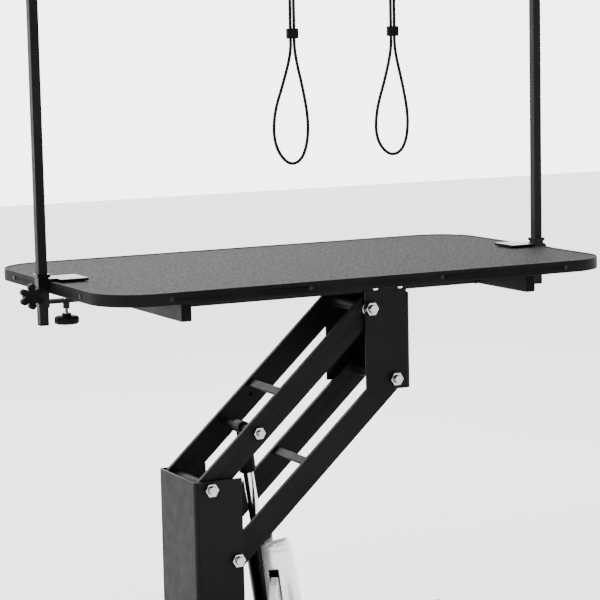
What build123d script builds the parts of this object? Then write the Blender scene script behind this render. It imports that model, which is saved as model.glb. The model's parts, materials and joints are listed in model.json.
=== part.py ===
"""Hydraulic pet grooming table with an overhead frame and two nooses.

Frame: origin on the floor under the middle of the tabletop, +X along the table,
+Y to its back, +Z up, millimetres. The lift is drawn at its parked height.
"""
import os
from math import cos, hypot, radians, sin, tan

from build123d import *

os.makedirs("parts", exist_ok=True)

# Tabletop
TABLE_LENGTH = 1080.0
TABLE_WIDTH = 640.0
TABLE_TOP = 886.0  # height of the rim above the floor
CORNER_R = 97.0
TRIM_HEIGHT = 23.0
TRIM_WALL = 3.0
MAT_THICK = 4.0
MAT_RECESS = 1.5
BOARD_BOTTOM = 864.0
SCREW_R = 2.0
SCREW_HEAD_R = 4.2
SCREW_HEAD = 1.6
SCREW_LENGTH = 18.0
FRONT_SCREW_X = (-420.0, -140.0, 140.0, 420.0)
END_SCREW_Y = (-180.0, 180.0)
SCREW_Z = 874.0

# Frame under the board
FRAME_TUBE = 20.0
FRAME_HEIGHT = 40.0
FRAME_WALL = 2.0
RAIL_OUTER_Y = 84.0
MEMBER_X = 370.0
MEMBER_LENGTH = 540.0

# Parallelogram lift
LIFT_ANGLE = 42.3  # of both arms above the horizontal when parked
ARM_LENGTH = 486.0
ARM_DEPTH = 50.0
ARM_THICK = 10.0
ARM_OUTER_Y = 78.0
ARM_WALL = 2.5
UPPER_PIVOT = (-250.0, 464.0)
LOWER_PIVOT = (-196.0, 318.0)
BOLT_R = 8.0
RUN_GAP = 0.05  # radial clearance of a turning fit
SIDE_GAP = 0.4  # clearance beside a moving piece
WELD_GAP = 0.2  # between tubes that a weld joins
TUBE_R = 12.0
WASHER_R = 15.0
UPPER_BAR_AT = 239.5
LOWER_BAR_AT = 240.0
BAR_WIDTH = 18.0
BAR_DEPTH = 6.0
BAR_OFFSET = 16.0  # of the bar's middle above the arm's centre line
DOUBLER = (102.0, 40.0, 1.6)  # length, width and thickness of the plates at the ram's bolt

# Column and bracket, both pressed channels
PLATE = 4.0
CHANNEL_OUTER_Y = 88.0
COLUMN_X = (-283.0, -182.0)
COLUMN_TOP = 480.0
BRACKET_X = (98.0, 200.0)
BRACKET_BOTTOM = 624.0
BRACKET_WEB_TOP = 818.0
BRACKET_TOP = 858.0
BRACKET_BOLT_X = (120.0, 176.0)
BRACKET_BOLT_Z = 835.0
BEND_R = 8.0

# Base
FOOT_R = 25.0
FOOT_HEIGHT = 12.0
STEM_R = 5.0
BASE_BOTTOM = 30.0
BASE_TUBE = (50.0, 40.0)  # width and height
BASE_WALL = 2.5
BASE_LENGTH = 900.0
BASE_RAIL_Y = 225.0
BASE_CROSS_X = 400.0
FOOT_X = 420.0
DECK_THICK = 8.0
DECK_X = (-330.0, 30.0)
ANCHOR_X = (-300.0, -160.0)
ANCHOR_Y = 104.0

# Hydraulic ram and pump, one unit that rocks on the deck
RAM_AT = 148.0  # ram pivot along the upper arm
RAM_LEAN = 8.0
RAM_BOLT_R = 6.0
RAM_TUBE_R = 7.5
RAM_EYE_R = 13.0
PUMP_PIVOT_Z = 110.0
ROD_R = 11.0
ROD_LENGTH = 270.0
COLLAR_R = 17.0
COLLAR_SPAN = (32.0, 93.0)  # below the ram pivot
HEAD_HALF_Y = 14.0
BARREL_R = 29.0
BARREL_BORE_R = 19.5
BARREL_SPAN = (60.0, 245.0)  # above the pump pivot
BARREL_FLOOR = 84.0
BLOCK_ACROSS = (-34.0, 84.0)
BLOCK_Y = (-52.0, 44.0)
BLOCK_SPAN = (-20.0, 60.0)
COVER_OFFSET = (23.6, -23.5)
COVER_R = (38.0, 33.5)  # at the foot and at the seam
COVER_SPAN = (62.0, 207.0)
COVER_WALL = 1.5
CAP_TOP = 226.0
SLOT_WIDTH = 22.0
SLOT_TOP = 168.0
SLOT_TURN = 227.0  # direction of the slot about the cover's axis

# Pump pedal
PEDAL_PIN = (-64.0, 118.0)
PEDAL_X = (-26.0, -2.0)
PEDAL_PAD = (-45.0, 22.0)
PEDAL_PIN_R = 5.0

# Overhead frame and its clamps, set a little forward of the table's middle
CLAMP_Y = -10.0
POST_X = 552.0
POST_SIDE = 17.5
POST_WALL = 1.5
POST_BOTTOM = 806.0
POST_TOP = 1770.0
ELBOW_SIDE = 26.0
SLEEVE_SIDE = 21.5
SLEEVE_GAP = 0.3
SLEEVE_SPAN = (836.0, 894.0)
COLLAR_SIDE = 26.0
COLLAR_TOP = 900.0
JAW_THICK = 5.0
JAW_X = (471.0, 526.0)
JAW_HALF_Y = 36.0
NECK_HALF_Y = 12.0
LOWER_JAW_TIP_X = 468.0
LOWER_JAW_Z = (843.0, 850.0)
CLAMP_SCREW_X = 504.5
CLAMP_SCREW_R = 3.0
CLAMP_FOOT = (856.0, 863.6)
CLAMP_FOOT_R = 12.0
EAR_HALF_Y = 9.0
EAR_R = 10.0
EAR_SPLIT = 3.0
KNOB_X = 580.0
KNOB_Z = 861.0
KNOB_CORE_R = 14.0
KNOB_LOBE_R = 6.5
KNOB_LOBE_AT = 17.5
KNOB_SPAN = (14.0, 26.0)  # in front of the middle between the ears

# Nooses
NOOSE_X = (-13.0, 213.0)
CORD_R = 3.2
STRAND_X = 4.0
STRAND_TOP = 1700.0
EYE_Z = 1758.0
EYE_R = 9.0
EYE_SEAT = 5.0  # straight length of the eye, where the noose hangs
WIRE_R = 2.5
RING_R = 10.0
SLIDER_Z = (1329.0, 1349.0)


def save(piece, name):
    """Label a finished piece and write it to its own file."""
    piece.part.label = name
    export_step(piece.part, f"parts/{name}.step")


def side_plane(y):
    """Plane facing the front at depth y, with local axes X and Z."""
    return Plane(origin=(0, y, 0), x_dir=(1, 0, 0), z_dir=(0, -1, 0))


def end_plane(x):
    """Plane facing +X at x, with local axes Y and Z."""
    return Plane(origin=(x, 0, 0), x_dir=(0, 1, 0), z_dir=(1, 0, 0))


def arm_plane(pivot, y):
    """Plane facing the front whose local X runs along a lift arm from its pivot."""
    along = (cos(radians(LIFT_ANGLE)), 0, sin(radians(LIFT_ANGLE)))
    return Plane(origin=(pivot[0], y, pivot[1]), x_dir=along, z_dir=(0, -1, 0))


def along_arm(pivot, distance):
    """Point (X, Z) on an arm's centre line."""
    angle = radians(LIFT_ANGLE)
    return (pivot[0] + distance * cos(angle), pivot[1] + distance * sin(angle))


def hexagon_nut(radius):
    """Hexagon profile with the given corner radius."""
    RegularPolygon(radius=radius, side_count=6)


# Pivots that the arms and the ram share
UPPER_END = along_arm(UPPER_PIVOT, ARM_LENGTH)
LOWER_END = along_arm(LOWER_PIVOT, ARM_LENGTH)
RAM_PIVOT = along_arm(UPPER_PIVOT, RAM_AT)
PUMP_PIVOT_X = RAM_PIVOT[0] + (RAM_PIVOT[1] - PUMP_PIVOT_Z) * tan(radians(RAM_LEAN))
UP_RAM = Vector(-sin(radians(RAM_LEAN)), 0, cos(radians(RAM_LEAN)))
ACROSS_RAM = Vector(cos(radians(RAM_LEAN)), 0, sin(radians(RAM_LEAN)))
PUMP_PIVOT = Vector(PUMP_PIVOT_X, 0, PUMP_PIVOT_Z)
RAM_TOP = Vector(RAM_PIVOT[0], 0, RAM_PIVOT[1])


def ram_plane(height, across=0.0, depth=0.0):
    """Plane square to the ram, a height above the pump pivot."""
    place = PUMP_PIVOT + UP_RAM * height + ACROSS_RAM * across + Vector(0, depth, 0)
    return Plane(origin=place, x_dir=ACROSS_RAM, z_dir=UP_RAM)


# ---------------------------------------------------------------- tabletop
TRIM_BOTTOM = TABLE_TOP - TRIM_HEIGHT
MAT_TOP = TABLE_TOP - MAT_RECESS
BOARD_TOP = MAT_TOP - MAT_THICK
INNER_LENGTH = TABLE_LENGTH - 2 * TRIM_WALL
INNER_WIDTH = TABLE_WIDTH - 2 * TRIM_WALL
INNER_R = CORNER_R - TRIM_WALL


def trim_screw_places():
    """Centre and outward direction of each trim screw."""
    places = []
    for x in FRONT_SCREW_X:
        places.append((Vector(x, -TABLE_WIDTH / 2, SCREW_Z), Vector(0, -1, 0)))
        places.append((Vector(x, TABLE_WIDTH / 2, SCREW_Z), Vector(0, 1, 0)))
    for y in END_SCREW_Y:
        places.append((Vector(-TABLE_LENGTH / 2, y, SCREW_Z), Vector(-1, 0, 0)))
        places.append((Vector(TABLE_LENGTH / 2, y, SCREW_Z), Vector(1, 0, 0)))
    return places


def cut_screw_holes():
    """Cut the trim screws' holes out of the part being built."""
    for centre, outward in trim_screw_places():
        with BuildSketch(Plane(origin=centre, z_dir=outward)) as hole:
            Circle(SCREW_R)
        extrude(hole.sketch, amount=-SCREW_LENGTH, mode=Mode.SUBTRACT)


with BuildPart() as table_board:
    with BuildSketch(Plane.XY.offset(BOARD_BOTTOM)):
        RectangleRounded(INNER_LENGTH, INNER_WIDTH, INNER_R)
    extrude(amount=BOARD_TOP - BOARD_BOTTOM)
    cut_screw_holes()
save(table_board, "table_board")

with BuildPart() as table_mat:
    with BuildSketch(Plane.XY.offset(BOARD_TOP)):
        RectangleRounded(INNER_LENGTH, INNER_WIDTH, INNER_R)
    extrude(amount=MAT_THICK)
save(table_mat, "table_mat")

with BuildPart() as edge_trim:
    with BuildSketch(Plane.XY.offset(TRIM_BOTTOM)):
        RectangleRounded(TABLE_LENGTH, TABLE_WIDTH, CORNER_R)
        RectangleRounded(INNER_LENGTH, INNER_WIDTH, INNER_R, mode=Mode.SUBTRACT)
    extrude(amount=TRIM_HEIGHT)
    cut_screw_holes()
save(edge_trim, "edge_trim")

with BuildPart() as edge_trim_screws:
    for centre, outward in trim_screw_places():
        with BuildSketch(Plane(origin=centre, z_dir=outward)):
            Circle(SCREW_R)
        extrude(amount=-SCREW_LENGTH)
        with BuildSketch(Plane(origin=centre, z_dir=outward)):
            Circle(SCREW_HEAD_R)
        extrude(amount=SCREW_HEAD)
save(edge_trim_screws, "edge_trim_screws")

# ---------------------------------------------------------------- frame under the board
FRAME_MID_Z = BOARD_BOTTOM - FRAME_HEIGHT / 2
RAIL_MID_Y = RAIL_OUTER_Y - FRAME_TUBE / 2
RAIL_HALF = MEMBER_X - FRAME_TUBE / 2 - WELD_GAP


def frame_tube_profile(centre):
    """Section of a tube of the frame under the board."""
    with Locations(centre):
        Rectangle(FRAME_TUBE, FRAME_HEIGHT)
        Rectangle(FRAME_TUBE - 2 * FRAME_WALL, FRAME_HEIGHT - 2 * FRAME_WALL, mode=Mode.SUBTRACT)


# Two rails along the table and two members across it, a weld's gap apart.
with BuildPart() as top_frame:
    for side in (-1, 1):
        with BuildSketch(end_plane(-RAIL_HALF)):
            frame_tube_profile((side * RAIL_MID_Y, FRAME_MID_Z))
        extrude(amount=2 * RAIL_HALF)
        with BuildSketch(side_plane(side * RAIL_OUTER_Y)):
            with Locations(*[(x, BRACKET_BOLT_Z) for x in BRACKET_BOLT_X]):
                Circle(BOLT_R / 2)
        extrude(amount=side * 2 * FRAME_WALL, mode=Mode.SUBTRACT)
        with BuildSketch(side_plane(MEMBER_LENGTH / 2)):
            frame_tube_profile((side * MEMBER_X, FRAME_MID_Z))
        extrude(amount=MEMBER_LENGTH)
save(top_frame, "top_frame")


# ---------------------------------------------------------------- channels
def channel_sketch(x_range, web_side):
    """Plan of a channel whose web is on its -X (-1) or +X (+1) side."""
    width = x_range[1] - x_range[0]
    middle = (x_range[0] + x_range[1]) / 2
    with BuildSketch() as outline:
        with Locations((middle, 0)):
            Rectangle(width, 2 * CHANNEL_OUTER_Y)
        web_corners = outline.vertices().group_by(Axis.X)[0 if web_side < 0 else -1]
        fillet(web_corners, BEND_R)
        with Locations((middle - web_side * PLATE, 0)):
            Rectangle(width, 2 * (CHANNEL_OUTER_Y - PLATE), mode=Mode.SUBTRACT)
    return outline.sketch


def drill_across(places, radius):
    """Drill holes along Y, right through the part being built."""
    with BuildSketch(side_plane(2 * CHANNEL_OUTER_Y)) as holes:
        with Locations(*places):
            Circle(radius)
    extrude(holes.sketch, amount=4 * CHANNEL_OUTER_Y, mode=Mode.SUBTRACT)


COLUMN_FOOT_BOTTOM = BASE_BOTTOM + BASE_TUBE[1] + DECK_THICK
COLUMN_BOTTOM = COLUMN_FOOT_BOTTOM + DECK_THICK

with BuildPart() as column:
    add(channel_sketch(COLUMN_X, -1).moved(Location((0, 0, COLUMN_BOTTOM))))
    extrude(amount=COLUMN_TOP - COLUMN_BOTTOM)
    drill_across([UPPER_PIVOT, LOWER_PIVOT], BOLT_R)
    with BuildSketch(Plane.XY.offset(COLUMN_FOOT_BOTTOM)):
        with Locations(((ANCHOR_X[0] + ANCHOR_X[1]) / 2, 0)):
            RectangleRounded(ANCHOR_X[1] - ANCHOR_X[0] + 36, 2 * ANCHOR_Y + 36, BEND_R)
    extrude(amount=DECK_THICK)
save(column, "column")

with BuildPart() as lift_bracket:
    add(channel_sketch(BRACKET_X, 1).moved(Location((0, 0, BRACKET_BOTTOM))))
    extrude(amount=BRACKET_TOP - BRACKET_BOTTOM)
    with BuildSketch(Plane.XY.offset(BRACKET_WEB_TOP)):
        with Locations((BRACKET_X[1] - PLATE, 0)):
            Rectangle(4 * PLATE, 2 * (CHANNEL_OUTER_Y - PLATE))
    extrude(amount=BRACKET_TOP - BRACKET_WEB_TOP, mode=Mode.SUBTRACT)
    with BuildSketch(Plane.XY.offset(BRACKET_WEB_TOP)):
        with Locations((BRACKET_X[1], 0)):
            Rectangle(2 * BEND_R, 4 * CHANNEL_OUTER_Y)
    extrude(amount=BRACKET_TOP - BRACKET_WEB_TOP, mode=Mode.SUBTRACT)
    drill_across([UPPER_END, LOWER_END], BOLT_R)
    drill_across([(x, BRACKET_BOLT_Z) for x in BRACKET_BOLT_X], BOLT_R / 2)
save(lift_bracket, "lift_bracket")

with BuildPart() as bracket_bolts:
    for side in (-1, 1):
        with BuildSketch(side_plane(side * (RAIL_OUTER_Y - FRAME_WALL))):
            with Locations(*[(x, BRACKET_BOLT_Z) for x in BRACKET_BOLT_X]):
                Circle(BOLT_R / 2)
        extrude(amount=-side * (PLATE + FRAME_WALL))
        with BuildSketch(side_plane(side * CHANNEL_OUTER_Y)):
            with Locations(*[(x, BRACKET_BOLT_Z) for x in BRACKET_BOLT_X]):
                hexagon_nut(BOLT_R)
        extrude(amount=-side * BOLT_R / 2)
save(bracket_bolts, "bracket_bolts")

# ---------------------------------------------------------------- pivot hardware
HEAD_R = 14.0
RAM_NUT_R = 12.5
HEAD_THICK = 8.0
NUT_THICK = 10.0
THREAD_OUT = 7.0


def pivot_bolts(places, half_width, name, radius=BOLT_R, corner_radius=HEAD_R):
    """Long bolts along Y with their nuts: heads at the back, thread ends in front."""
    with BuildPart() as bolts:
        with BuildSketch(side_plane(half_width)):
            with Locations(*places):
                Circle(radius)
        extrude(amount=2 * half_width + NUT_THICK + THREAD_OUT)
        with BuildSketch(side_plane(half_width + HEAD_THICK)):
            with Locations(*places):
                hexagon_nut(corner_radius)
        extrude(amount=HEAD_THICK)
        with BuildSketch(side_plane(-half_width)):
            with Locations(*places):
                hexagon_nut(corner_radius)
                Circle(radius + RUN_GAP, mode=Mode.SUBTRACT)
        extrude(amount=NUT_THICK)
    save(bolts, name)


pivot_bolts([UPPER_PIVOT, LOWER_PIVOT], CHANNEL_OUTER_Y, "column_pivot_bolts")
pivot_bolts([UPPER_END, LOWER_END], CHANNEL_OUTER_Y, "bracket_pivot_bolts")
pivot_bolts([RAM_PIVOT], ARM_OUTER_Y, "ram_pivot_bolt", RAM_BOLT_R, RAM_NUT_R)


# ---------------------------------------------------------------- lift arms
ARM_INNER_Y = ARM_OUTER_Y - ARM_THICK
DRAIN_R = 3.0


def arm_rails(pivot, extra_hole, name):
    """The two hollow rails of a lift arm, with plates inside at its extra hole."""
    with BuildPart() as rails:
        solid_end = (extra_hole or 0) + ARM_DEPTH
        hollow = ARM_LENGTH - solid_end - ARM_DEPTH
        for side in (-1, 1):
            with BuildSketch(arm_plane(pivot, side * ARM_OUTER_Y)):
                with Locations((ARM_LENGTH / 2, 0)):
                    SlotCenterToCenter(ARM_LENGTH, ARM_DEPTH)
                with Locations((0, 0), (ARM_LENGTH, 0)):
                    Circle(BOLT_R + RUN_GAP, mode=Mode.SUBTRACT)
            extrude(amount=side * ARM_THICK)
            if extra_hole:
                with BuildSketch(arm_plane(pivot, side * ARM_INNER_Y)):
                    with Locations((extra_hole, 0)):
                        Rectangle(*DOUBLER[:2])
                extrude(amount=-side * DOUBLER[2])
                with BuildSketch(arm_plane(pivot, side * ARM_OUTER_Y)):
                    with Locations((extra_hole, 0)):
                        Circle(RAM_BOLT_R)
                extrude(amount=side * 2 * ARM_THICK, mode=Mode.SUBTRACT)
            with BuildSketch(arm_plane(pivot, side * (ARM_OUTER_Y - ARM_WALL))):
                with Locations((solid_end + hollow / 2, 0)):
                    Rectangle(hollow, ARM_DEPTH - 2 * ARM_WALL)
            extrude(amount=side * (ARM_THICK - 2 * ARM_WALL), mode=Mode.SUBTRACT)
            with BuildSketch(arm_plane(pivot, side * ARM_INNER_Y)):
                with Locations((solid_end + ARM_DEPTH / 2, 0)):
                    Circle(DRAIN_R)
            extrude(amount=-side * 2 * ARM_WALL, mode=Mode.SUBTRACT)
    save(rails, name)


def arm_tubes(pivot, name):
    """Tubes between an arm's rails, round its two pivot bolts."""
    with BuildPart() as tubes:
        with BuildSketch(arm_plane(pivot, ARM_INNER_Y)):
            with Locations((0, 0), (ARM_LENGTH, 0)):
                Circle(TUBE_R)
                Circle(BOLT_R + RUN_GAP, mode=Mode.SUBTRACT)
        extrude(amount=2 * ARM_INNER_Y)
    save(tubes, name)


def arm_bar(pivot, distance, name):
    """Flat bar welded across an arm, near the top of its rails."""
    with BuildPart() as bar:
        with BuildSketch(arm_plane(pivot, ARM_INNER_Y)):
            with Locations((distance, BAR_OFFSET)):
                RectangleRounded(BAR_WIDTH, BAR_DEPTH, PLATE / 2)
        extrude(amount=2 * ARM_INNER_Y)
    save(bar, name)


def arm_washers(pivot, name):
    """Thrust washers between an arm and the channels it turns in."""
    thick = CHANNEL_OUTER_Y - PLATE - ARM_OUTER_Y - SIDE_GAP
    with BuildPart() as washers:
        for side in (-1, 1):
            with BuildSketch(arm_plane(pivot, side * ARM_OUTER_Y)):
                with Locations((0, 0), (ARM_LENGTH, 0)):
                    Circle(WASHER_R)
                    Circle(BOLT_R + RUN_GAP, mode=Mode.SUBTRACT)
            extrude(amount=-side * thick)
    save(washers, name)


arm_rails(UPPER_PIVOT, RAM_AT, "upper_arm_rails")
arm_rails(LOWER_PIVOT, None, "lower_arm_rails")
arm_tubes(UPPER_PIVOT, "upper_arm_tubes")
arm_tubes(LOWER_PIVOT, "lower_arm_tubes")
arm_bar(UPPER_PIVOT, UPPER_BAR_AT, "upper_arm_cross_bar")
arm_bar(LOWER_PIVOT, LOWER_BAR_AT, "lower_arm_cross_bar")
arm_washers(UPPER_PIVOT, "upper_arm_washers")
arm_washers(LOWER_PIVOT, "lower_arm_washers")

# The ram's head hangs between two short tubes on its own bolt.
HEAD_CLEAR_Y = HEAD_HALF_Y + SIDE_GAP
with BuildPart() as ram_pivot_tubes:
    for side in (-1, 1):
        with BuildSketch(arm_plane(UPPER_PIVOT, side * (ARM_INNER_Y - DOUBLER[2]))):
            with Locations((RAM_AT, 0)):
                Circle(RAM_TUBE_R)
                Circle(RAM_BOLT_R, mode=Mode.SUBTRACT)
        extrude(amount=side * (ARM_INNER_Y - DOUBLER[2] - HEAD_CLEAR_Y))
save(ram_pivot_tubes, "ram_pivot_tubes")

# ---------------------------------------------------------------- ram
RAM_LENGTH = (RAM_TOP - PUMP_PIVOT).length

with BuildPart() as ram_head:
    with BuildSketch(side_plane(HEAD_HALF_Y)):
        with Locations(RAM_PIVOT):
            Circle(RAM_EYE_R)
    extrude(amount=2 * HEAD_HALF_Y)
    with BuildSketch(ram_plane(RAM_LENGTH)):
        Circle(ROD_R)
    extrude(amount=-COLLAR_SPAN[0])
    with BuildSketch(side_plane(HEAD_HALF_Y)):
        with Locations(RAM_PIVOT):
            Circle(RAM_BOLT_R + RUN_GAP)
    extrude(amount=2 * HEAD_HALF_Y, mode=Mode.SUBTRACT)
save(ram_head, "ram_head")

with BuildPart() as ram_collar:
    with BuildSketch(ram_plane(RAM_LENGTH - COLLAR_SPAN[1])):
        Circle(COLLAR_R)
        Circle(ROD_R, mode=Mode.SUBTRACT)
    extrude(amount=COLLAR_SPAN[1] - COLLAR_SPAN[0])
    chamfer(ram_collar.edges().filter_by(GeomType.CIRCLE).group_by(SortBy.RADIUS)[-1], 2)
save(ram_collar, "ram_collar")

with BuildPart() as ram_rod:
    with BuildSketch(ram_plane(RAM_LENGTH - COLLAR_SPAN[0])):
        Circle(ROD_R)
    extrude(amount=-(ROD_LENGTH - COLLAR_SPAN[0]))
save(ram_rod, "ram_rod")

# ---------------------------------------------------------------- pump unit
LUG_THICK = 8.0
LUG_R = 14.0
PEDAL_LUG_R = 12.0
PEDAL_CENTRE_Y, PEDAL_CENTRE_Z = PEDAL_PIN
PEDAL_LUG_X = (
    (PEDAL_X[0] - SIDE_GAP - LUG_THICK, PEDAL_X[0] - SIDE_GAP),
    (PEDAL_X[1] + SIDE_GAP, PEDAL_X[1] + SIDE_GAP + LUG_THICK),
)

with BuildPart() as pump_block:
    block_middle = ((BLOCK_ACROSS[0] + BLOCK_ACROSS[1]) / 2, (BLOCK_Y[0] + BLOCK_Y[1]) / 2)
    with BuildSketch(ram_plane(BLOCK_SPAN[0], *block_middle)):
        RectangleRounded(BLOCK_ACROSS[1] - BLOCK_ACROSS[0], BLOCK_Y[1] - BLOCK_Y[0], BEND_R)
    extrude(amount=BLOCK_SPAN[1] - BLOCK_SPAN[0])
    for low, high in PEDAL_LUG_X:
        with BuildSketch(end_plane(low)):
            with Locations((PEDAL_CENTRE_Y, PEDAL_CENTRE_Z)):
                Circle(PEDAL_LUG_R)
            with Locations((PEDAL_CENTRE_Y + PEDAL_LUG_R, PEDAL_CENTRE_Z)):
                Rectangle(2 * PEDAL_LUG_R, 2 * PEDAL_LUG_R)
        extrude(amount=high - low)
    with BuildSketch(end_plane(PEDAL_LUG_X[0][0])):
        with Locations((PEDAL_CENTRE_Y, PEDAL_CENTRE_Z)):
            Circle(PEDAL_PIN_R)
    extrude(amount=PEDAL_LUG_X[1][1] - PEDAL_LUG_X[0][0], mode=Mode.SUBTRACT)
    with BuildSketch(side_plane(BLOCK_Y[1])):
        with Locations((PUMP_PIVOT_X, PUMP_PIVOT_Z)):
            Circle(BOLT_R + RUN_GAP)
    extrude(amount=BLOCK_Y[1] - BLOCK_Y[0], mode=Mode.SUBTRACT)
save(pump_block, "pump_block")

with BuildPart() as ram_barrel:
    with BuildSketch(ram_plane(BARREL_SPAN[0])):
        Circle(BARREL_R)
    extrude(amount=BARREL_SPAN[1] - BARREL_SPAN[0])
    with BuildSketch(ram_plane(BARREL_SPAN[1])):
        Circle(BARREL_BORE_R)
    extrude(amount=-(BARREL_SPAN[1] - BARREL_FLOOR), mode=Mode.SUBTRACT)
save(ram_barrel, "ram_barrel")


def clear_of_barrel():
    """Cut away the side of the cover where the barrel stands."""
    with BuildSketch(ram_plane(BLOCK_SPAN[1])) as room:
        Circle(BARREL_R + SIDE_GAP)
    extrude(room.sketch, amount=BARREL_SPAN[1], mode=Mode.SUBTRACT)


SLOT_PLANE = Plane(
    origin=ram_plane(0, *COVER_OFFSET).origin,
    x_dir=ACROSS_RAM * cos(radians(SLOT_TURN)) + Vector(0, sin(radians(SLOT_TURN)), 0),
    z_dir=UP_RAM,
)

with BuildPart() as pump_cover:
    with BuildSketch(ram_plane(COVER_SPAN[0], *COVER_OFFSET)):
        Circle(COVER_R[0])
    with BuildSketch(ram_plane(COVER_SPAN[1], *COVER_OFFSET)):
        Circle(COVER_R[1])
    loft()
    with BuildSketch(ram_plane(COVER_SPAN[0], *COVER_OFFSET)):
        Circle(COVER_R[0] - COVER_WALL)
    with BuildSketch(ram_plane(COVER_SPAN[1], *COVER_OFFSET)):
        Circle(COVER_R[1] - COVER_WALL)
    loft(mode=Mode.SUBTRACT)
    clear_of_barrel()
    with BuildSketch(SLOT_PLANE.offset(COVER_SPAN[0])):
        with Locations((COVER_R[0], 0)):
            Rectangle(COVER_R[0], SLOT_WIDTH)
    extrude(amount=SLOT_TOP - COVER_SPAN[0], mode=Mode.SUBTRACT)
save(pump_cover, "pump_cover")

with BuildPart() as pump_cover_cap:
    with BuildSketch(ram_plane(COVER_SPAN[1], *COVER_OFFSET)):
        Circle(COVER_R[1])
    extrude(amount=CAP_TOP - COVER_SPAN[1])
    fillet(pump_cover_cap.faces().sort_by(Axis.Z)[-1].edges(), CAP_TOP - COVER_SPAN[1] - PLATE)
    clear_of_barrel()
save(pump_cover_cap, "pump_cover_cap")

# The lowering lever: a toe tab that leans out of the cover's slot.
LEVER_WIDTH = 15.0
LEVER_PIN = (22.0, 92.0)  # from the cover's axis, and above the pump pivot
LEVER_PIN_R = 3.0
LEVER_OUTLINE = [
    (16.0, 84.0), (16.0, 102.0), (32.0, 152.0), (48.0, 140.0),
    (84.0, 92.0), (78.0, 86.0), (44.0, 100.0), (30.0, 84.0),
]
LEVER_PLANE = Plane(
    origin=SLOT_PLANE.origin, x_dir=SLOT_PLANE.x_dir, z_dir=SLOT_PLANE.x_dir.cross(UP_RAM)
)

with BuildPart() as lowering_lever:
    with BuildSketch(LEVER_PLANE.offset(-LEVER_WIDTH / 2)):
        with BuildLine():
            Polyline(*LEVER_OUTLINE, close=True)
        make_face()
        with Locations(LEVER_PIN):
            Circle(LEVER_PIN_R + RUN_GAP, mode=Mode.SUBTRACT)
    extrude(amount=LEVER_WIDTH)
save(lowering_lever, "lowering_lever")

LEVER_STAND = 24.0
with BuildPart() as lever_pin_stand:
    with BuildSketch(LEVER_PLANE.offset(-LEVER_STAND / 2)):
        with Locations(LEVER_PIN):
            Circle(LEVER_PIN_R)
    extrude(amount=LEVER_STAND)
    for start in (-LEVER_STAND / 2, LEVER_WIDTH / 2 + SIDE_GAP):
        with BuildSketch(LEVER_PLANE.offset(start)):
            with Locations(LEVER_PIN):
                Circle(2 * LEVER_PIN_R)
            with Locations((LEVER_PIN[0], (LEVER_PIN[1] + BLOCK_SPAN[1]) / 2)):
                Rectangle(4 * LEVER_PIN_R, LEVER_PIN[1] - BLOCK_SPAN[1])
        extrude(amount=LEVER_STAND / 2 - LEVER_WIDTH / 2 - SIDE_GAP)
    clear_of_barrel()
save(lever_pin_stand, "lever_pin_stand")

# ---------------------------------------------------------------- pump pedal
PEDAL_THICK = 10.0
PAD_Y = (-204.0, -132.0)
PAD_Z = 192.0
PAD_THICK = 24.0

with BuildPart() as pedal_lever:
    with BuildSketch(end_plane(PEDAL_X[0])):
        with BuildLine():
            FilletPolyline(
                (PEDAL_CENTRE_Y, PEDAL_CENTRE_Z), (PAD_Y[1], PAD_Z - PEDAL_THICK / 2),
                (PAD_Y[0], PAD_Z - PEDAL_THICK / 2), radius=2 * PEDAL_THICK,
            )
            offset(amount=PEDAL_THICK / 2)
        make_face()
        with Locations((PEDAL_CENTRE_Y, PEDAL_CENTRE_Z)):
            Circle(PEDAL_LUG_R - 1)
            Circle(PEDAL_PIN_R + RUN_GAP, mode=Mode.SUBTRACT)
    extrude(amount=PEDAL_X[1] - PEDAL_X[0])
save(pedal_lever, "pedal_lever")

with BuildPart() as pedal_pad:
    with BuildSketch(Plane.XY.offset(PAD_Z)):
        with Locations(((PEDAL_PAD[0] + PEDAL_PAD[1]) / 2, (PAD_Y[0] + PAD_Y[1]) / 2)):
            RectangleRounded(PEDAL_PAD[1] - PEDAL_PAD[0], PAD_Y[1] - PAD_Y[0], 14)
    extrude(amount=PAD_THICK)
    fillet(pedal_pad.faces().sort_by(Axis.Z)[-1].edges(), 9)
save(pedal_pad, "pedal_pad")

with BuildPart() as pedal_pin:
    with BuildSketch(end_plane(PEDAL_LUG_X[0][0])):
        with Locations((PEDAL_CENTRE_Y, PEDAL_CENTRE_Z)):
            Circle(PEDAL_PIN_R)
    extrude(amount=PEDAL_LUG_X[1][1] - PEDAL_LUG_X[0][0])
save(pedal_pin, "pedal_pin")

# ---------------------------------------------------------------- base
BASE_TOP = BASE_BOTTOM + BASE_TUBE[1]
BASE_MID_Z = BASE_BOTTOM + BASE_TUBE[1] / 2
CROSS_HALF = BASE_RAIL_Y - BASE_TUBE[0] / 2 - WELD_GAP


def base_tube_profile(centre):
    """Section of a base tube."""
    with Locations(centre):
        Rectangle(*BASE_TUBE)
        Rectangle(BASE_TUBE[0] - 2 * BASE_WALL, BASE_TUBE[1] - 2 * BASE_WALL, mode=Mode.SUBTRACT)


with BuildPart() as base_frame:
    for side in (-1, 1):
        with BuildSketch(end_plane(-BASE_LENGTH / 2)):
            base_tube_profile((side * BASE_RAIL_Y, BASE_MID_Z))
        extrude(amount=BASE_LENGTH)
        with BuildSketch(Plane.XY.offset(BASE_BOTTOM)):
            with Locations((-FOOT_X, side * BASE_RAIL_Y), (FOOT_X, side * BASE_RAIL_Y)):
                Circle(STEM_R + RUN_GAP)
        extrude(amount=BASE_WALL, mode=Mode.SUBTRACT)
        with BuildSketch(side_plane(CROSS_HALF)):
            base_tube_profile((side * (BASE_CROSS_X - BASE_TUBE[0]), BASE_MID_Z))
        extrude(amount=2 * CROSS_HALF)
save(base_frame, "base_frame")

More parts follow.
